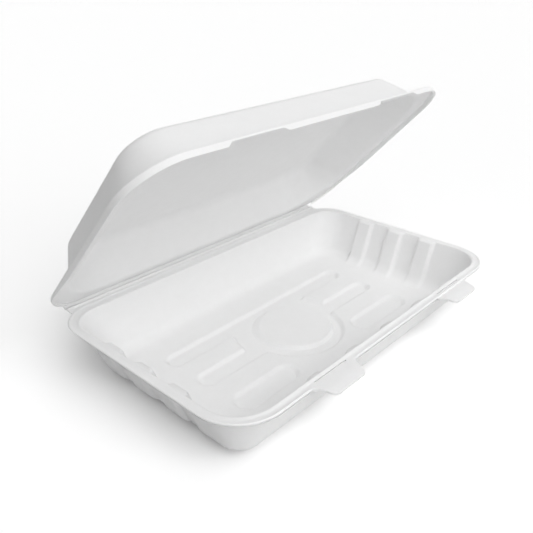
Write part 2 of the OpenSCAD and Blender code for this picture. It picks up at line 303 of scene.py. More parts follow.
def arc(centre, radius, start, end, steps):
    """Points of an arc in a section, with its angles in degrees."""
    turns = [math.radians(start + (end - start) * k / steps) for k in range(steps + 1)]
    return [(centre[0] + radius * math.cos(t), centre[1] + radius * math.sin(t)) for t in turns]


def run(start, end, steps):
    """Points of a straight run in a section, without its first."""
    shares = [k / steps for k in range(1, steps + 1)]
    return [(start[0] + (end[0] - start[0]) * s, start[1] + (end[1] - start[1]) * s) for s in shares]


def ease(value):
    """Smooth step from 0 to 1."""
    value = min(max(value, 0.0), 1.0)
    return value * value * (3.0 - 2.0 * value)


def start_vertex(name, place):
    """New mesh in edit mode that is one selected vertex."""
    clear_selection()
    bpy.ops.mesh.primitive_plane_add(size=MM, location=place)
    obj = bpy.context.object
    obj.name = name
    bpy.ops.object.transform_apply(location=True, rotation=True, scale=True)
    bpy.ops.object.mode_set(mode="EDIT")
    bpy.ops.mesh.select_mode(type="VERT")
    bpy.ops.mesh.select_all(action="SELECT")
    bpy.ops.mesh.merge(type="CENTER")
    return obj


def draw_section(name, points, place):
    """Draw an open section from one vertex, extruded point by point."""
    obj = start_vertex(name, (place[0] + points[0][0], place[1], points[0][1]))
    for (x0, z0), (x1, z1) in zip(points, points[1:]):
        extrude(x1 - x0, 0.0, z1 - z0)
    bpy.ops.mesh.select_all(action="SELECT")
    return obj


def turn_corner(x, y, steps):
    """Spin the selected section a quarter turn about a corner centre."""
    bpy.ops.mesh.spin(steps=steps, angle=math.pi / 2, center=(x, y, 0.0), axis=(0.0, 0.0, -1.0))


def sweep(name, section, half_x, half_y, middle_y, cells, corner_steps):
    """Shell swept round a rounded rectangle, with a flat panel inside it."""
    front, back = middle_y - half_y, middle_y + half_y
    obj = draw_section(name, section, (half_x, front))
    extrude(0.0, 2 * half_y, 0.0)
    turn_corner(half_x, back, corner_steps)
    extrude(-half_x, 0.0, 0.0)
    extrude(-half_x, 0.0, 0.0)
    turn_corner(-half_x, back, corner_steps)
    extrude(0.0, -2 * half_y, 0.0)
    turn_corner(-half_x, front, corner_steps)
    extrude(half_x, 0.0, 0.0)
    extrude(half_x, 0.0, 0.0)
    turn_corner(half_x, front, corner_steps)

    def along(axis, size):
        return lambda e: abs(abs(e.verts[0].co[axis] - e.verts[1].co[axis]) - size) < TINY

    pick(obj, "EDGE", along(0, half_x))
    bpy.ops.mesh.subdivide(number_cuts=cells[0] // 2 - 1)
    pick(obj, "EDGE", along(1, 2 * half_y))
    bpy.ops.mesh.subdivide(number_cuts=cells[1] - 1)

    clear_selection()
    bpy.ops.mesh.primitive_grid_add(
        x_subdivisions=cells[0], y_subdivisions=cells[1], size=1.0, location=(0.0, middle_y, section[0][1])
    )
    panel = bpy.context.object
    panel.scale = (2 * half_x, 2 * half_y, 1.0)
    bpy.ops.object.transform_apply(location=True, rotation=True, scale=True)
    obj.select_set(True)
    bpy.context.view_layer.objects.active = obj
    bpy.ops.object.join()
    bpy.ops.object.mode_set(mode="EDIT")
    bpy.ops.mesh.select_all(action="SELECT")
    bpy.ops.mesh.remove_doubles(threshold=TINY)
    face_up(obj, middle_y)
    return obj


def face_up(obj, middle_y):
    """Turn all faces of a shell to the side that the middle of its panel shows upwards."""
    bpy.ops.mesh.select_all(action="SELECT")
    bpy.ops.mesh.normals_make_consistent(inside=False)
    bpy.ops.object.mode_set(mode="OBJECT")
    middle = min(obj.data.polygons, key=lambda f: math.hypot(f.center.x, f.center.y - middle_y))
    if middle.normal.z < 0:
        bpy.ops.object.mode_set(mode="EDIT")
        bpy.ops.mesh.flip_normals()
        bpy.ops.object.mode_set(mode="OBJECT")


def round_corners(obj, half_x, half_y, middle_y, extra_at):
    """Give the swept corners a larger radius, by an extra amount that depends on the place and its ring."""
    for vertex in obj.data.vertices:
        x, y = vertex.co.x, vertex.co.y - middle_y
        ring = math.hypot(max(abs(x) - half_x, 0.0), max(abs(y) - half_y, 0.0))
        extra = extra_at(vertex.co, ring)
        a, b = abs(x) - half_x + extra, abs(y) - half_y + extra
        if extra <= 0 or a <= 0 or b <= 0:
            continue
        reach = ring + extra if ring > 0 else max(a, b)
        share = reach / math.hypot(a, b)
        vertex.co.x = math.copysign(half_x - extra + a * share, x)
        vertex.co.y = middle_y + math.copysign(half_y - extra + b * share, y)


def square_back_corners(obj, half_x, half_y, middle_y, ratio, low, high):
    """Give the swept corners at the back a smaller radius, fully above one height and not below another."""
    for vertex in obj.data.vertices:
        a, b = abs(vertex.co.x) - half_x, vertex.co.y - middle_y - half_y
        share = ease((vertex.co.z - low) / (high - low))
        if a <= 0 or b <= 0 or share <= 0:
            continue
        ring = math.hypot(a, b)
        along, across = max(a, b) / ring, min(a, b) / ring
        inset = 1 - ratio
        if across / along <= inset:
            reach = 1 / along
        else:
            middle = inset * (along + across)
            reach = middle + math.sqrt(max(middle**2 - 2 * inset**2 + ratio**2, 0.0))
        grow = 1 + (reach - 1) * share
        vertex.co.x = math.copysign(half_x + a * grow, vertex.co.x)
        vertex.co.y = middle_y + half_y + b * grow


def widen_mouth(obj, t, half_x, half_y):
    """Set the tops of the end and front walls further out; the rim is narrower there, flat at the ends."""
    edge, foot = t.corner - LIP_CREST, t.wall_top + BEAD_WIDTH
    flattened = 0.7
    for vertex in obj.data.vertices:
        a, b = abs(vertex.co.x) - half_x, abs(vertex.co.y - TRAY_MIDDLE_Y) - half_y
        ring = math.hypot(max(a, 0.0), max(b, 0.0))
        if ring <= 0:
            continue
        rise = min(max((vertex.co.z - t.floor_level) / (t.rim_level - t.floor_level), 0.0), 1.0)
        inner = min(max((edge - ring) / (edge - foot), 0.0), 1.0)
        end, side = max(a, 0.0) / ring, max(b, 0.0) / ring
        vertex.co.x += math.copysign(t.end_widening * rise * inner * end, vertex.co.x)
        if vertex.co.y < TRAY_MIDDLE_Y:
            vertex.co.y -= t.front_widening * rise * inner * side
        if ring > t.wall_top and vertex.co.z > t.rim_level:
            vertex.co.z -= (vertex.co.z - t.rim_level) * flattened * end * end


def displace(obj, name, weight, strength, direction):
    """Press a relief into the sheet: a weight for each point, and one Displace modifier."""
    least = 0.001
    only(obj)
    group = obj.vertex_groups.new(name=name)
    for vertex in obj.data.vertices:
        share = weight(vertex.co)
        if share > least:
            group.add([vertex.index], min(share, 1.0), "REPLACE")
    relief = obj.modifiers.new(name, "DISPLACE")
    relief.vertex_group = name
    relief.direction = direction
    relief.mid_level = 0.0
    relief.strength = strength
    bpy.ops.object.modifier_apply(modifier=name)
    obj.vertex_groups.remove(obj.vertex_groups[name])


def mark_thickness(obj, name, share_at):
    """Mark how thick the sheet is at each point, as a share of its greatest thickness."""
    group = obj.vertex_groups.new(name=name)
    for vertex in obj.data.vertices:
        group.add([vertex.index], share_at(vertex.co), "REPLACE")


def thicken(obj, sheet, edge, group=""):
    """Give the sheet its thickness and soften its cut edges."""
    only(obj)
    wall = obj.modifiers.new("Sheet", "SOLIDIFY")
    wall.thickness = sheet
    wall.vertex_group = group
    wall.offset = -1.0
    wall.use_even_offset = True
    bpy.ops.object.modifier_apply(modifier="Sheet")
    soft = obj.modifiers.new("Edges", "BEVEL")
    soft.width = edge
    soft.segments = CUT_EDGE_SEGMENTS
    soft.limit_method = "ANGLE"
    soft.angle_limit = CUT_EDGE
    bpy.ops.object.modifier_apply(modifier="Edges")
    bpy.ops.object.shade_smooth_by_angle(angle=SMOOTH_BELOW)


def tray_section(t):
    """Upper side of the tray from its floor to the edge of its rim."""
    lean = math.degrees(t.lean)
    rise = t.rim_level - t.floor_level
    foot = t.wall_top - rise * math.tan(t.lean)
    centre = (foot - t.fillet * math.tan(math.radians(90 - lean) / 2), t.floor_level + t.fillet)
    floor = run((0.0, t.floor_level), (centre[0], t.floor_level), PANEL_STEPS)[:-1]
    bend = arc(centre, t.fillet, -90, -lean, TRAY_BEND_STEPS)
    # the top of the wall has finer rows, for the tops of the flutes and lugs
    fine = 2.2 * MM
    knee = (t.wall_top - fine * math.tan(t.lean), t.rim_level - fine)
    wall = run(bend[-1], knee, TRAY_WALL_STEPS) + run(knee, (t.wall_top, t.rim_level), TRAY_WALL_STEPS)
    bead = [(t.wall_top + a * MM, t.rim_level + b * t.bead_height) for a, b in BEAD_SHAPE]
    groove = [(t.wall_top + a * MM, t.rim_level) for a in GROOVE_STEPS]
    lip = [(t.corner - a * MM, t.rim_level + b * t.lip_height) for a, b in LIP_SHAPE]
    return [(0.0, t.floor_level)] + floor + bend + wall + bead + groove + lip


def channel(x, y, start, end, middle, width):
    """How far a point lies inside a channel with round ends."""
    half = width / 2
    nearest = min(max(x, start + half), end - half)
    return half - math.hypot(x - nearest, y - middle)


def ramp(value):
    """Step from 0 to 1 with a nearly straight slope and softened ends."""
    straight = 0.55
    value = min(max(value, 0.0), 1.0)
    return straight * value + (1 - straight) * ease(value)


def align_rows(obj, t, half_y):
    """Move the floor's rows onto the channels' edges, and points near the hollow's edges onto those."""
    cells = TRAY_CELLS[1]
    step = 2 * half_y / cells
    slope = t.channel_run / 2
    # how near a point has to be to be moved: further where the cells are longer
    reach, reach_sideways = 0.34 * MM, 0.28 * MM
    stops = {0: -half_y, cells: half_y}
    for middle, width in CHANNELS.values():
        for edge in (middle - width / 2, middle + width / 2):
            for place in (edge * MM - slope, edge * MM + slope):
                stops[round((place + half_y) / step)] = place
    rows = sorted(stops)
    for vertex in obj.data.vertices:
        x, y = vertex.co.x, vertex.co.y - TRAY_MIDDLE_Y
        if abs(y) < half_y:
            row = round((y + half_y) / step)
            low = max(k for k in rows if k <= row)
            high = min(k for k in rows if k >= row)
            share = (row - low) / max(high - low, 1)
            y = stops[low] + (stops[high] - stops[low]) * share
        away = max(math.hypot(x, y), TINY)
        near = reach + reach_sideways * abs(x) / away
        for edge in HOLLOW:
            for ring in (edge * MM - slope, edge * MM + slope):
                if 0 < abs(away - ring) < near:
                    x, y = x * ring / away, y * ring / away
        vertex.co.x, vertex.co.y = x, y + TRAY_MIDDLE_Y


def floor_weight(t):
    """Share of the channel depth at each point of the floor."""
    reach = t.channel_reach
    flat = t.floor_level + 0.2 * MM
    hollow_front, hollow_back = (radius * MM for radius in HOLLOW)
    left_end, right_end = (end * MM for end in FRONT_ENDS)
    back, middle, front = ((y * MM, width * MM) for y, width in CHANNELS.values())

    def weight(co):
        x, y = co.x, co.y - TRAY_MIDDLE_Y
        if co.z > flat:
            return 0.0
        away = math.hypot(x, y)
        inside = max(
            channel(x, y, -reach, reach, *back),
            channel(x, y, -reach, -hollow_front, *middle),
            channel(x, y, hollow_front, reach, *middle),
            channel(x, y, -reach, left_end, *front),
            channel(x, y, right_end, reach, *front),
            hollow_front - away,
            min(hollow_back - away, y + middle[1] / 2, back[0] - y),
        )
        return min(max(inside / t.channel_run + 0.5, 0.0), 1.0)

    return weight


def wall_reach(t, widening):
    """How far out from the corner centres the points of a wall lie, up to just past its top."""
    past = 0.3 * MM
    return t.wall_top + widening + past


def under_bead(t, z):
    """1 on a wall, fading to 0 at the level where flutes and lugs end under the bead."""
    fade = 0.7 * MM
    return ramp((t.flute_top - z) / fade)


def flute_weight(t, half_x, half_y, side):
    """Share of the flute depth at each point of one end wall."""
    reach = wall_reach(t, t.end_widening)

    def weight(co):
        out, y = side * co.x - half_x, co.y - TRAY_MIDDLE_Y
        if not 0 < out < reach or co.z > t.rim_level or abs(y) > half_y:
            return 0.0
        off = min(abs(y - k * t.flute_pitch) for k in FLUTE_PLACES)
        foot = min(out / t.flute_foot, 1.0)
        return ramp((t.flute_half - off) / t.flute_side) * under_bead(t, co.z) * foot

    return weight


def lug_weight(t, half_x, half_y):
    """Share of the lug depth at each point of the front wall."""
    reach = wall_reach(t, t.front_widening)

    def weight(co):
        out = TRAY_MIDDLE_Y - half_y - co.y
        if not 0 < out < reach or co.z > t.rim_level or abs(co.x) > half_x:
            return 0.0
        off = min(abs(co.x - k * t.lug_pitch) for k in LUG_PLACES)
        foot = ease((co.z - t.flute_top + t.lug_height) / t.lug_foot)
        return ease((t.lug_half - off) / t.lug_side) * under_bead(t, co.z) * foot

    return weight


def raise_panel(obj, t):
    """Put a round raised panel into the hollow: cut a hole and build rings in from its edge."""
    x, y = t.panel_aside, TRAY_MIDDLE_Y + t.panel_back
    foot = t.panel_radius + t.channel_run / 2
    apron = 0.35 * MM
    outer = foot + apron
    cut_radius, hole_radius = outer + 1.2 * MM, outer + 4 * MM
    evening_rounds = 12

    def away(co):
        return math.hypot(co.x - x, co.y - y)

    def turn(co):
        return math.atan2(co.y - y, co.x - x)

    pick(obj, "FACE", lambda f: away(f.calc_center_median()) < cut_radius)
    bpy.ops.mesh.delete(type="FACE")
    pick(obj, "EDGE", lambda e: e.is_boundary and all(away(v.co) < hole_radius for v in e.verts))
    extrude(0.0, 0.0, 0.0)
    mesh = bmesh.from_edit_mesh(obj.data)
    loop = sorted((v for v in mesh.verts if v.select), key=lambda v: turn(v.co))
    count = len(loop)
    step = 2 * math.pi / count
    shifts = [turn(v.co) - step * k for k, v in enumerate(loop)]
    for _ in range(evening_rounds):
        shifts = [(shifts[k - 1] + shifts[k] + shifts[(k + 1) % count]) / 3 for k in range(count)]
    for k, vertex in enumerate(loop):
        vertex.co.x = x + outer * math.cos(step * k + shifts[k])
        vertex.co.y = y + outer * math.sin(step * k + shifts[k])
    bmesh.update_edit_mesh(obj.data)
    last_radius, last_rise = outer, 0.0
    for run_share, rise_share in PANEL_RINGS:
        radius = foot - t.channel_run * run_share
        extrude(0.0, 0.0, t.channel_depth * (rise_share - last_rise))
        grow = radius / last_radius
        bpy.ops.transform.resize(value=(grow, grow, 1), center_override=(x, y, 0))
        last_radius, last_rise = radius, rise_share
    bpy.ops.mesh.edge_face_add()
    face_up(obj, TRAY_MIDDLE_Y)
    for vertex in obj.data.vertices:
        radius = away(vertex.co)
        if radius < foot - TINY:
            softness = max(math.cos(turn(vertex.co) - t.panel_soft), 0.0) ** 2
            reach = foot - (foot - radius) * (1 + t.panel_softness * softness)
            vertex.co.x = x + (vertex.co.x - x) * reach / radius
            vertex.co.y = y + (vertex.co.y - y) * reach / radius


def cut_slot(obj, t, middle, half_y):
    """Cut the slot at a tab's root out of the rim's groove, wider at its right end."""
    near = t.wall_top + t.front_widening + t.slot_place
    half = t.slot_length / 2
    lowest = t.rim_level - 0.5 * MM

    def in_slot(f):
        place = f.calc_center_median()
        out, along = TRAY_MIDDLE_Y - half_y - near - place.y, place.x - middle
        width = t.hole_width if along > half - t.hole_length else t.slot_width
        return 0 < out < width and abs(along) < half and place.z > lowest

    pick(obj, "FACE", in_slot)
    bpy.ops.mesh.delete(type="FACE")
    only(obj)


def tab_half(t, out):
    """Half of a tab's length at a distance out from the rim."""
    root, tip = t.tab_root / 2, t.tab_tip / 2
    flare_run, corner_share = 2.5 * MM, 0.85
    side = root + (tip - root) * out / t.tab_reach
    flare = t.tab_flare * max(0.0, 1 - out / flare_run) ** 2
    into = max(out - (t.tab_reach - t.tab_corner), 0.0)
    cut = t.tab_corner - math.sqrt(max(t.tab_corner**2 - into**2, 0.0))
    return side + flare - corner_share * cut


def flatten_lip(obj, t, middle, edge_y):
    """Press the lip down to the groove's level along a tab's root."""
    lip_width, lip_fall, past, fade = 2.3 * MM, 1.2 * MM, 1.4 * MM, 2.2 * MM
    half = tab_half(t, 0.0)
    for vertex in obj.data.vertices:
        if vertex.co.y - edge_y > lip_width or vertex.co.z < t.rim_level - lip_fall:
            continue
        share = ease((half + past - abs(vertex.co.x - middle)) / fade)
        vertex.co.z += (t.rim_level - vertex.co.z) * share


def pull_tab(obj, t, middle, edge_y):
    """Extrude a tab from the rim's edge, level at first and falling outside its crease."""
    half = tab_half(t, 0.0)
    outermost = edge_y + 0.2 * MM

    def at_root(co):
        return co.y < outermost and abs(co.x - middle) < half

    pick(obj, "EDGE", lambda e: e.is_boundary and all(at_root(v.co) for v in e.verts))
    fall = math.tan(t.tab_slope)
    last_out, last_half = 0.0, half
    for row in TAB_ROWS:
        out = t.tab_reach * row / TAB_ROWS[-1]
        drop = fall * (max(out - t.tab_crease, 0.0) - max(last_out - t.tab_crease, 0.0))
        extrude(0.0, last_out - out, -drop)
        now = tab_half(t, out)
        bpy.ops.transform.resize(value=(now / last_half, 1, 1), center_override=(middle, 0, 0))
        last_out, last_half = out, now


def finish_piece(obj, body, node, material):
    """Dress a piece and tell the frame what it stands for."""
    obj.data.materials.clear()
    obj.data.materials.append(material)
    if node:
        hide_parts(node)
    if body:
        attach(obj, body)


def fibre_grain_group():
    """Mesh-like grain and soft mottling of pressed fibre, from Object coordinates."""
    if "Fibre grain" in bpy.data.node_groups:
        return bpy.data.node_groups["Fibre grain"]
    group = bpy.data.node_groups.new("Fibre grain", "ShaderNodeTree")
    for name, side, kind in (
        ("Vector", "INPUT", "NodeSocketVector"),
        ("Scale", "INPUT", "NodeSocketFloat"),
        ("Mottle", "OUTPUT", "NodeSocketFloat"),
        ("Height", "OUTPUT", "NodeSocketFloat"),
    ):
        group.interface.new_socket(name=name, in_out=side, socket_type=kind)
    fine_share, cell_share = 0.5, 0.45
    nodes, links = group.nodes, group.links
    source = nodes.new("NodeGroupInput")
    target = nodes.new("NodeGroupOutput")

    cells = nodes.new("ShaderNodeTexVoronoi")
    cells.feature = "SMOOTH_F1"
    cells.inputs["Smoothness"].default_value = 0.6
    links.new(source.outputs["Vector"], cells.inputs["Vector"])
    links.new(source.outputs["Scale"], cells.inputs["Scale"])

    fine = nodes.new("ShaderNodeTexNoise")
    fine.inputs["Scale"].default_value = 2600.0
    fine.inputs["Detail"].default_value = 2.0
    links.new(source.outputs["Vector"], fine.inputs["Vector"])

    height = nodes.new("ShaderNodeMath")
    height.operation = "MULTIPLY_ADD"
    height.inputs[1].default_value = fine_share
    links.new(fine.outputs["Fac"], height.inputs[0])
    links.new(cells.outputs["Distance"], height.inputs[2])
    links.new(height.outputs[0], target.inputs["Height"])

    clouds = nodes.new("ShaderNodeTexNoise")
    clouds.inputs["Scale"].default_value = 140.0
    clouds.inputs["Detail"].default_value = 4.0
    links.new(source.outputs["Vector"], clouds.inputs["Vector"])
    mix = nodes.new("ShaderNodeMath")
    mix.operation = "MULTIPLY_ADD"
    mix.inputs[1].default_value = cell_share
    links.new(cells.outputs["Distance"], mix.inputs[0])
    links.new(clouds.outputs["Fac"], mix.inputs[2])
    links.new(mix.outputs[0], target.inputs["Mottle"])
    return group


def fibre_material(finish, name, bump):
    """White fibre with a fine grain, made once for each name."""
    if name in bpy.data.materials:
        return bpy.data.materials[name]
    smoother, rougher = 0.06, 0.1
    material = bpy.data.materials.new(name)
    material.use_nodes = True
    nodes, links = material.node_tree.nodes, material.node_tree.links
    shader = nodes["Principled BSDF"]
    shader.inputs["Specular IOR Level"].default_value = 0.2
    shader.inputs["Subsurface Weight"].default_value = finish.soak
    shader.inputs["Subsurface Radius"].default_value = (1.0, 1.0, 1.0)
    shader.inputs["Subsurface Scale"].default_value = finish.soak_depth

    place = nodes.new("ShaderNodeTexCoord")
    grain = nodes.new("ShaderNodeGroup")
    grain.node_tree = fibre_grain_group()
    grain.inputs["Scale"].default_value = 1 / finish.grain
    links.new(place.outputs["Object"], grain.inputs["Vector"])

    shade = nodes.new("ShaderNodeMapRange")
    shade.inputs["From Min"].default_value = 0.35
    shade.inputs["From Max"].default_value = 0.95
    links.new(grain.outputs["Mottle"], shade.inputs["Value"])
    colour = nodes.new("ShaderNodeMix")
    colour.data_type = "RGBA"
    colour.inputs["A"].default_value = (*finish.pale, 1.0)
    colour.inputs["B"].default_value = (*finish.dull, 1.0)
    links.new(shade.outputs["Result"], colour.inputs["Factor"])
    links.new(colour.outputs["Result"], shader.inputs["Base Color"])

    rough = nodes.new("ShaderNodeMapRange")
    rough.inputs["To Min"].default_value = finish.roughness - smoother
    rough.inputs["To Max"].default_value = finish.roughness + rougher
    links.new(grain.outputs["Height"], rough.inputs["Value"])
    links.new(rough.outputs["Result"], shader.inputs["Roughness"])

    relief = nodes.new("ShaderNodeBump")
    relief.inputs["Strength"].default_value = bump
    relief.inputs["Distance"].default_value = finish.depth
    links.new(grain.outputs["Height"], relief.inputs["Height"])
    links.new(relief.outputs["Normal"], shader.inputs["Normal"])
    return material


def moulded_fibre(context):
    """Material of the tray and the lid."""
    finish = context.scene.clamshell_fibre
    return fibre_material(finish, "moulded_fibre", finish.relief)


def pressed_fibre(context):
    """Material of the fold, pressed smoother than the rest."""
    finish = context.scene.clamshell_fibre
    return fibre_material(finish, "pressed_fibre", finish.pressed_relief)


class CLAMSHELL_OT_tray(bpy.types.Operator):
    """Model the tray: swept walls and rim, pressed floor, flutes, lugs and tabs"""

    bl_idname = "clamshell.tray"
    bl_label = "Tray"

    def execute(self, context):
        t = context.scene.clamshell_tray
        half_x = TRAY_HALF_LENGTH - t.corner
        half_y = t.width / 2 - t.corner
        edge_y = TRAY_MIDDLE_Y - t.width / 2
        rise = t.rim_level - t.floor_level
        squared_above = 26 * MM
        soft_edge = 0.4 * MM
        section = tray_section(t)
        obj = sweep("tray_shell", section, half_x, half_y, TRAY_MIDDLE_Y, TRAY_CELLS, TRAY_CORNER_STEPS)
        align_rows(obj, t, half_y)

        def extra_at(co, ring):
            low = min(max((t.rim_level - co.z) / rise, 0.0), 1.0)
            return t.back_rounding * low if co.y > TRAY_MIDDLE_Y else 0.0

        round_corners(obj, half_x, half_y, TRAY_MIDDLE_Y, extra_at)
        ratio = t.back_corner / t.corner
        square_back_corners(obj, half_x, half_y, TRAY_MIDDLE_Y, ratio, squared_above, t.rim_level)
        widen_mouth(obj, t, half_x, half_y)
        left, right = (flute_weight(t, half_x, half_y, side) for side in (-1, 1))
        plain = t.bare_share
        displace(obj, "channels", floor_weight(t), -t.channel_depth, "Z")
        raise_panel(obj, t)
        mark_thickness(obj, "thick", lambda co: plain + (1 - plain) * max(left(co), right(co)))
        displace(obj, "left_flutes", left, t.flute_depth, "X")
        displace(obj, "right_flutes", right, -t.flute_depth, "X")
        displace(obj, "lugs", lug_weight(t, half_x, half_y), t.lug_depth, "Y")
        for middle in (t.tab_left, t.tab_right):
            flatten_lip(obj, t, middle, edge_y)
            cut_slot(obj, t, middle, half_y)
            pull_tab(obj, t, middle, edge_y)
        self.thin_tabs(obj, plain, edge_y)
        thicken(obj, t.sheet / plain, soft_edge, "thick")
        finish_piece(obj, "tray", "tray", moulded_fibre(context))
        return {"FINISHED"}

    def thin_tabs(self, obj, plain, edge_y):
        """Mark the tabs as thinner than the rim they grow from."""
        thinning, fade, root = 0.4, 4 * MM, 0.3 * MM
        only(obj)
        marks = obj.vertex_groups["thick"]
        for vertex in obj.data.vertices:
            out = edge_y - vertex.co.y
            if out > root:
                marks.add([vertex.index], plain * (1 - thinning * ease(out / fade)), "REPLACE")


def lid_section(lid):
    """Upper side of the closed lid from its top panel to the foot of its skirt."""
    lean = math.degrees(lid.lean)
    half_turn = math.tan(math.radians(90 - lean) / 2)
    shoulder = lid.wall_foot - (lid.top - lid.rim_top) * math.tan(lid.lean)
    centre = (shoulder - lid.fillet * half_turn, lid.top - lid.fillet)
    panel = run((0.0, lid.top), (centre[0], lid.top), PANEL_STEPS)[:-1]
    bend = arc(centre, lid.fillet, 90, lean, LID_BEND_STEPS)
    roll_centre = (lid.wall_foot + lid.roll * half_turn, lid.rim_top + lid.roll)
    toe = arc(roll_centre, lid.roll, 180 + lean, 270, LID_TOE_STEPS)
    wall = run(bend[-1], toe[0], LID_WALL_STEPS)[:-1]
    flange = lid.corner - lid.edge
    rim = run(toe[-1], (flange, lid.rim_top), LID_RIM_STEPS)
    # the rim's last point is the arc's top, so the arc starts a step below it
    edge = arc((flange, lid.rim_top - lid.edge), lid.edge, 78, 0, LID_EDGE_STEPS)
    skirt = run(edge[-1], (lid.corner, lid.rim_top - lid.skirt), LID_SKIRT_STEPS)
    return [(0.0, lid.top)] + panel + bend + wall + toe + rim + edge + skirt


class CLAMSHELL_OT_lid(bpy.types.Operator):
    """Model the lid closed, with its skirt cut over the tabs and the fold, and swing it open"""

    bl_idname = "clamshell.lid"
    bl_label = "Lid"

    def execute(self, context):
        lid = context.scene.clamshell_lid
        t = context.scene.clamshell_tray
        half_x = LID_HALF_LENGTH - lid.corner
        half_y = t.width / 2 + lid.over - lid.corner
        soft_edge = 0.35 * MM
        section = lid_section(lid)
        obj = sweep("lid_shell", section, half_x, half_y, TRAY_MIDDLE_Y, LID_CELLS, LID_CORNER_STEPS)
        self.shape_walls(obj, lid, half_x, half_y)
        self.trim_skirt(obj, lid, t, half_y)
        self.open_fold(obj, lid, context.scene.clamshell_fold, half_y)
        thicken(obj, lid.sheet, soft_edge)
        swing = Matrix.Rotation(-REST_OPENING, 4, "X")
        obj.matrix_world = Matrix.Translation(FOLD_AXIS) @ swing @ Matrix.Translation(-FOLD_AXIS)
        only(obj)
        bpy.ops.object.transform_apply(location=True, rotation=True, scale=True)
        finish_piece(obj, "lid", "lid", moulded_fibre(context))
        return {"FINISHED"}

    def shape_walls(self, obj, lid, half_x, half_y):
        """Round the wall's corners, set the end walls in, and move the lid aside."""
        flange = lid.corner - lid.edge

        def inside_rim(ring):
            return min(max((flange - ring) / (flange - lid.wall_foot), 0.0), 1.0)

        def extra_at(co, ring):
            share = min(max((co.z - lid.rim_top) / (lid.top - lid.rim_top), 0.0), 1.0)
            return (lid.foot_rounding + (lid.top_rounding - lid.foot_rounding) * share) * inside_rim(ring)

        rings = [
            math.hypot(max(abs(v.co.x) - half_x, 0.0), max(abs(v.co.y - TRAY_MIDDLE_Y) - half_y, 0.0))
            for v in obj.data.vertices
        ]
        round_corners(obj, half_x, half_y, TRAY_MIDDLE_Y, extra_at)
        for vertex, ring in zip(obj.data.vertices, rings):
            pull = lid.end_inset * inside_rim(ring) * min(abs(vertex.co.x) / half_x, 1.0)
            vertex.co.x -= math.copysign(pull, vertex.co.x) + lid.aside

    def trim_skirt(self, obj, lid, t, half_y):
        """Shorten the skirt over the tabs and towards the fold."""
        # points up to here belong to the front's straight skirt
        front_y = TRAY_MIDDLE_Y - half_y - lid.corner + 0.1 * MM
        bend_z = lid.rim_top - lid.edge
        full = lid.skirt - lid.edge
        short = (lid.skirt_at_tab - lid.edge) / full
        last = (lid.skirt_end - lid.edge) / full
        fade = 3.0 * MM
        notch_half = t.tab_root / 2 + lid.tab_clear + fade / 2
        for vertex in obj.data.vertices:
            if vertex.co.z >= bend_z:
                continue
            if vertex.co.y < front_y:
                beside = min(abs(vertex.co.x - t.tab_left), abs(vertex.co.x - t.tab_right))
                cut = (1 - short) * ease((notch_half - beside) / fade)
            else:
                behind = vertex.co.y - TRAY_MIDDLE_Y - lid.skirt_fade
                cut = (1 - last) * ramp(behind / (half_y - lid.skirt_fade))
            vertex.co.z = bend_z - (bend_z - vertex.co.z) * (1 - cut)

    def open_fold(self, obj, lid, fold, half_y):
        """Take the skirt and the rim's edge away along the fold."""
        highest = lid.rim_top - 0.5 * MM

        def along_fold(f):
            c = f.calc_center_median()
            return c.z < highest and c.y > TRAY_MIDDLE_Y + half_y and abs(c.x) < fold.half

        pick(obj, "FACE", along_fold)
        bpy.ops.mesh.delete(type="FACE")


class CLAMSHELL_OT_fold(bpy.types.Operator):
    """Model the thin pressed strip that joins the tray and the lid, with its ridge and valley"""

    bl_idname = "clamshell.fold"
    bl_label = "Fold"

    def execute(self, context):
        fold = context.scene.clamshell_fold
        t = context.scene.clamshell_tray
        lid = context.scene.clamshell_lid
        rim_y = TRAY_MIDDLE_Y + t.width / 2
        # the strip leaves the tray under its rim's top and meets the lid inside its rim's edge
        below, inside = 0.3 * MM, 0.3 * MM
        rim_z = t.rim_level - below
        tuck, tuck_drop, lap = 2.2 * MM, 0.3 * MM, 0.5 * MM
        soft_edge = 0.2 * MM
        closed = Vector((0.0, rim_y + lid.over - inside, lid.rim_top - lid.sheet / 2))
        open_edge = Matrix.Rotation(-REST_OPENING, 3, "X") @ (closed - FOLD_AXIS) + FOLD_AXIS
        width = open_edge.y - rim_y

        def swell(share, form):
            return math.exp(-(((share - form[0]) / form[1]) ** 2))

        def level(share):
            base = rim_z + (open_edge.z - rim_z) * share
            fall = fold.dip * swell(share, DIP) + fold.valley * swell(share, VALLEY)
            return base + fold.ridge * swell(share, RIDGE) - fall

        start = (rim_y - tuck, rim_z - tuck_drop)
        shares = [k / FOLD_STEPS for k in range(FOLD_STEPS + 1)]
        points = [start] + [(rim_y + width * share, level(share)) for share in shares]
        points.append((open_edge.y + lap, open_edge.z + lap))
        obj = start_vertex("fold_strip", (-fold.half, *points[0]))
        for (y0, z0), (y1, z1) in zip(points, points[1:]):
            extrude(0.0, y1 - y0, z1 - z0)
        bpy.ops.mesh.select_all(action="SELECT")
        extrude(2 * fold.half, 0.0, 0.0)

        def lengthwise(e):
            return abs(e.verts[0].co.x - e.verts[1].co.x) > fold.half

        pick(obj, "EDGE", lengthwise)
        bpy.ops.mesh.subdivide(number_cuts=FOLD_CUTS)
        bpy.ops.mesh.select_all(action="SELECT")
        bpy.ops.mesh.normals_make_consistent(inside=False)
        bpy.ops.object.mode_set(mode="OBJECT")
        if obj.data.polygons[0].normal.z < 0:
            bpy.ops.object.mode_set(mode="EDIT")
            bpy.ops.mesh.flip_normals()
        thicken(obj, fold.sheet, soft_edge)
        finish_piece(obj, None, None, pressed_fibre(context))
        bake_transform(obj)
        return {"FINISHED"}


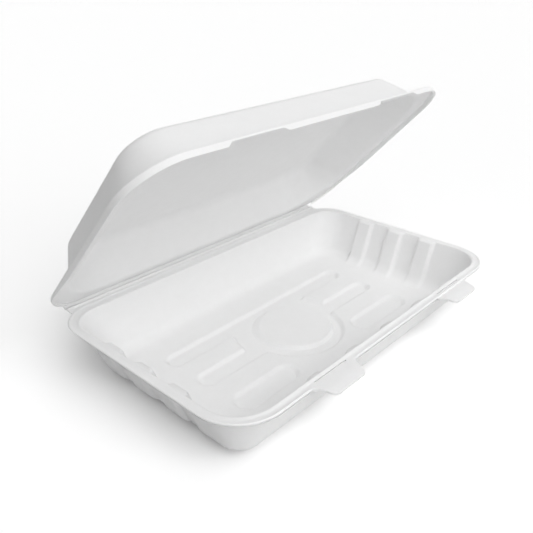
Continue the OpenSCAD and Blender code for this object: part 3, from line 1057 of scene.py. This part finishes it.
def seen_share(nodes, links):
    """1 for rays that see or mirror a surface, 0 for those that only carry its light."""
    path = nodes.new("ShaderNodeLightPath")
    seen = nodes.new("ShaderNodeMath")
    seen.operation = "MAXIMUM"
    links.new(path.outputs["Is Camera Ray"], seen.inputs[0])
    links.new(path.outputs["Is Glossy Ray"], seen.inputs[1])
    through = nodes.new("ShaderNodeMath")
    through.operation = "MAXIMUM"
    links.new(seen.outputs[0], through.inputs[0])
    links.new(path.outputs["Is Transmission Ray"], through.inputs[1])
    return through


class CLAMSHELL_OT_stage(bpy.types.Operator):
    """Set the pale floor, the soft studio light and the camera"""

    bl_idname = "clamshell.stage"
    bl_label = "Stage"

    def execute(self, context):
        studio = context.scene.clamshell_studio
        clear_selection()
        bpy.ops.mesh.primitive_plane_add(size=FLOOR_SIZE, location=(0.0, 0.0, -FLOOR_DROP))
        floor = context.object
        floor.name = "floor"
        material = bpy.data.materials.new("studio_floor")
        material.use_nodes = True
        nodes, links = material.node_tree.nodes, material.node_tree.links
        shader = nodes["Principled BSDF"]
        shader.inputs["Roughness"].default_value = 1.0
        shader.inputs["Specular IOR Level"].default_value = 0.0
        shade = nodes.new("ShaderNodeMix")
        shade.data_type = "RGBA"
        shade.inputs["A"].default_value = (*studio.floor_tone, 1.0)
        seen = studio.floor_seen
        shade.inputs["B"].default_value = (seen, seen, seen, 1.0)
        links.new(seen_share(nodes, links).outputs[0], shade.inputs["Factor"])
        links.new(shade.outputs["Result"], shader.inputs["Base Color"])
        floor.data.materials.append(material)

        world = bpy.data.worlds.new("studio_sky")
        context.scene.world = world
        world.use_nodes = True
        nodes, links = world.node_tree.nodes, world.node_tree.links
        sky = nodes["Background"]
        sky.inputs["Color"].default_value = (1.0, 1.0, 1.0, 1.0)
        total = nodes.new("ShaderNodeMapRange")
        total.inputs["To Min"].default_value = studio.sky
        total.inputs["To Max"].default_value = 1.0
        links.new(seen_share(nodes, links).outputs[0], total.inputs["Value"])
        links.new(total.outputs["Result"], sky.inputs["Strength"])

        for name, turn, height, power in LAMPS:
            flat = math.cos(math.radians(height))
            side = math.radians(turn)
            high = math.sin(math.radians(height))
            lamp_at = Vector((math.sin(side) * flat, -math.cos(side) * flat, high))
            bpy.ops.object.light_add(type="SUN", location=lamp_at)
            lamp = context.object
            lamp.name = name
            lamp.data.energy = math.pi * power * studio.key
            lamp.data.angle = LAMP_SPREAD
            lamp.rotation_euler = (-lamp_at).to_track_quat("-Z", "Y").to_euler()

        camera = bpy.data.objects.new("camera", bpy.data.cameras.new("camera"))
        context.scene.collection.objects.link(camera)
        context.scene.camera = camera
        target = Vector(CAMERA_AIM) * MM + Vector((0.0, TRAY_MIDDLE_Y, 0.0))
        flat = math.cos(studio.elevation)
        back = Vector(
            (math.sin(studio.azimuth) * flat, -math.cos(studio.azimuth) * flat, math.sin(studio.elevation))
        )
        camera.location = target + back * studio.distance
        camera.rotation_euler = (-back).to_track_quat("-Z", "Y").to_euler()
        camera.data.sensor_width = 36.0
        camera.data.lens = studio.lens
        camera.data.clip_start = 0.01
        camera.data.clip_end = 100.0
        context.scene.view_settings.view_transform = "Standard"
        return {"FINISHED"}


class CLAMSHELL_PT_panel(bpy.types.Panel):
    """Sidebar panel that lists the container's pieces"""

    bl_idname = "CLAMSHELL_PT_panel"
    bl_label = "Clamshell"
    bl_space_type = "VIEW_3D"
    bl_region_type = "UI"
    bl_category = "Clamshell"

    def draw(self, context):
        for operator in OPERATORS:
            self.layout.operator(operator.bl_idname)
        for name in SETTINGS:
            group = getattr(context.scene, name)
            box = self.layout.box()
            for key in group.bl_rna.properties.keys():
                if key not in ("rna_type", "name"):
                    box.prop(group, key)


SETTINGS = {
    "clamshell_tray": TraySizes,
    "clamshell_lid": LidSizes,
    "clamshell_fold": FoldSizes,
    "clamshell_fibre": FibreFinish,
    "clamshell_studio": StudioSet,
}
OPERATORS = (CLAMSHELL_OT_tray, CLAMSHELL_OT_lid, CLAMSHELL_OT_fold, CLAMSHELL_OT_stage)
CLASSES = (*SETTINGS.values(), *OPERATORS, CLAMSHELL_PT_panel)


def register():
    """Register the classes and hang the settings on the scene."""
    for cls in CLASSES:
        bpy.utils.register_class(cls)
    for name, group in SETTINGS.items():
        setattr(bpy.types.Scene, name, PointerProperty(type=group))


def unregister():
    """Take the settings and the classes away again."""
    for name in SETTINGS:
        delattr(bpy.types.Scene, name)
    for cls in reversed(CLASSES):
        bpy.utils.unregister_class(cls)


def main():
    """Build the container."""
    register()
    bpy.ops.clamshell.tray()
    bpy.ops.clamshell.lid()
    bpy.ops.clamshell.fold()
    bpy.ops.clamshell.stage()


if __name__ == "__main__":
    main()
